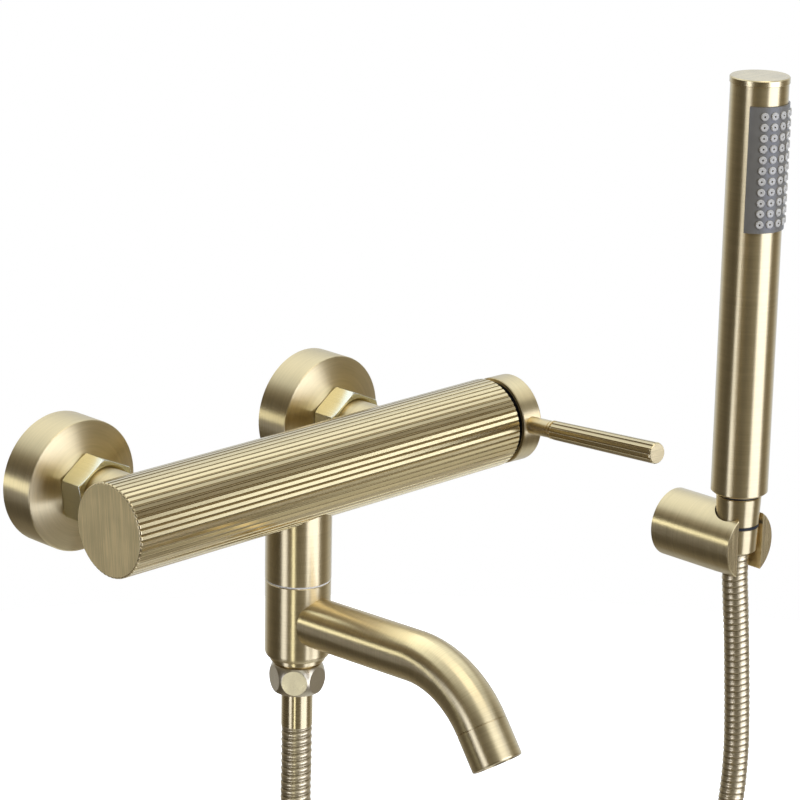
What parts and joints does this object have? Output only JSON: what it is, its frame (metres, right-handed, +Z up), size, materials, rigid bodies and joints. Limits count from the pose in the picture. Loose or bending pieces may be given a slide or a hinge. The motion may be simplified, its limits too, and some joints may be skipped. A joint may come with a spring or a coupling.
{
  "type": "bath mixer",
  "caption": "Wall bath mixer with a fluted body, a side lever, a swinging spout and a straight hand shower on a ribbed hose, resting in a round wall holder.",
  "frame": {"origin": "on the wall, halfway between the two wall inlets", "axes": "+X right along the body as one faces the wall, +Y into the wall, +Z up"},
  "size_m": [0.4715, 0.223, 0.6244],
  "materials": {
    "brushed_brass": "brushed and satin, pale gold",
    "raw_brass": "turned, plain",
    "hose_sheath": "satin pale gold sheath, with the weight of a lined hose",
    "steel": "plain",
    "black_rubber": "matt",
    "black_plastic": "matt",
    "light_plastic": "matt",
    "grey_plastic": "satin grey",
    "grey_rubber": "matt, light grey",
    "ceramic": "polished ceramic"
  },
  "bodies": {
    "mixer": {"wall_union_left": "raw_brass", "wall_union_right": "raw_brass", "flange_left": "brushed_brass", "flange_right": "brushed_brass", "union_washer_left": "black_rubber", "union_washer_right": "black_rubber", "union_nut_left": "brushed_brass", "union_nut_right": "brushed_brass", "inlet_tail_left": "brushed_brass", "inlet_tail_right": "brushed_brass", "body_shell": "brushed_brass", "waterway_core": "raw_brass", "cartridge_seals": "black_rubber", "cartridge_body": "light_plastic", "fixed_disc": "ceramic", "cartridge_ring_nut": "raw_brass", "mouth_ring": "black_plastic", "outlet_sleeve": "brushed_brass", "outlet_stem": "raw_brass", "stem_o_rings": "black_rubber", "seam_ring": "light_plastic", "outlet_collar": "brushed_brass", "hose_nut": "brushed_brass", "hose_washer_mixer": "black_rubber", "hose_ferrule_mixer": "brushed_brass", "hose_leg_mixer": "hose_sheath", "hose_coil": "hose_sheath", "holder_body": "brushed_brass", "holder_wall_plate": "steel", "holder_grub_screw": "steel"},
    "carrier": {"moving_disc": "ceramic", "cartridge_carrier": "light_plastic", "spindle_pin": "steel"},
    "handle": {"handle_spindle": "steel", "cap_insert": "black_plastic", "handle_cap": "brushed_brass", "handle_grub_screw": "steel", "lever_neck": "brushed_brass", "lever_grip": "brushed_brass"},
    "spout": {"spout_hub": "brushed_brass", "diverter_sleeve": "light_plastic", "spout_tube": "brushed_brass", "mouth_sleeve": "brushed_brass", "aerator_insert": "light_plastic", "aerator_seal": "black_rubber"},
    "hose_end": {"hose_leg_handset": "hose_sheath", "hose_ferrule_handset": "raw_brass", "hose_washer_handset": "black_rubber"},
    "hand_shower": {"cone_nut": "brushed_brass", "cone_o_ring": "black_rubber", "neck_ring": "black_plastic", "handset_connector": "raw_brass", "handset_tube": "brushed_brass", "handset_top_cap": "brushed_brass", "spray_chamber": "light_plastic", "water_tube": "light_plastic", "nozzle_plate": "grey_plastic", "nozzle_mat": "grey_rubber"}
  },
  "joints": [
    {"name": "handle_turn", "type": "hinge", "parent": "mixer", "child": "carrier", "pos_m": [0.1217, -0.0712, 0], "axis": [1, 0, 0], "range_deg": [-39.6, 50.4]},
    {"name": "handle_lift", "type": "hinge", "parent": "carrier", "child": "handle", "pos_m": [0.1217, -0.0712, 0], "axis": [0, 0.0941, 0.9956], "range_deg": [0, 15]},
    {"name": "spout_swivel", "type": "hinge", "parent": "mixer", "child": "spout", "pos_m": [0.0046, -0.0712, -0.0659], "axis": [0, 0, 1], "range_deg": [-45, 45]},
    {"name": "handset_lift", "type": "slide", "parent": "mixer", "child": "hose_end", "axis": [0, 0, 1], "range_m": [0, 0.06], "deforming": ["hose_leg_handset"]},
    {"name": "handset_turn", "type": "hinge", "parent": "hose_end", "child": "hand_shower", "pos_m": [0.3483, -0.0437, -0.1187], "axis": [0, 0, 1], "continuous": true}
  ]
}
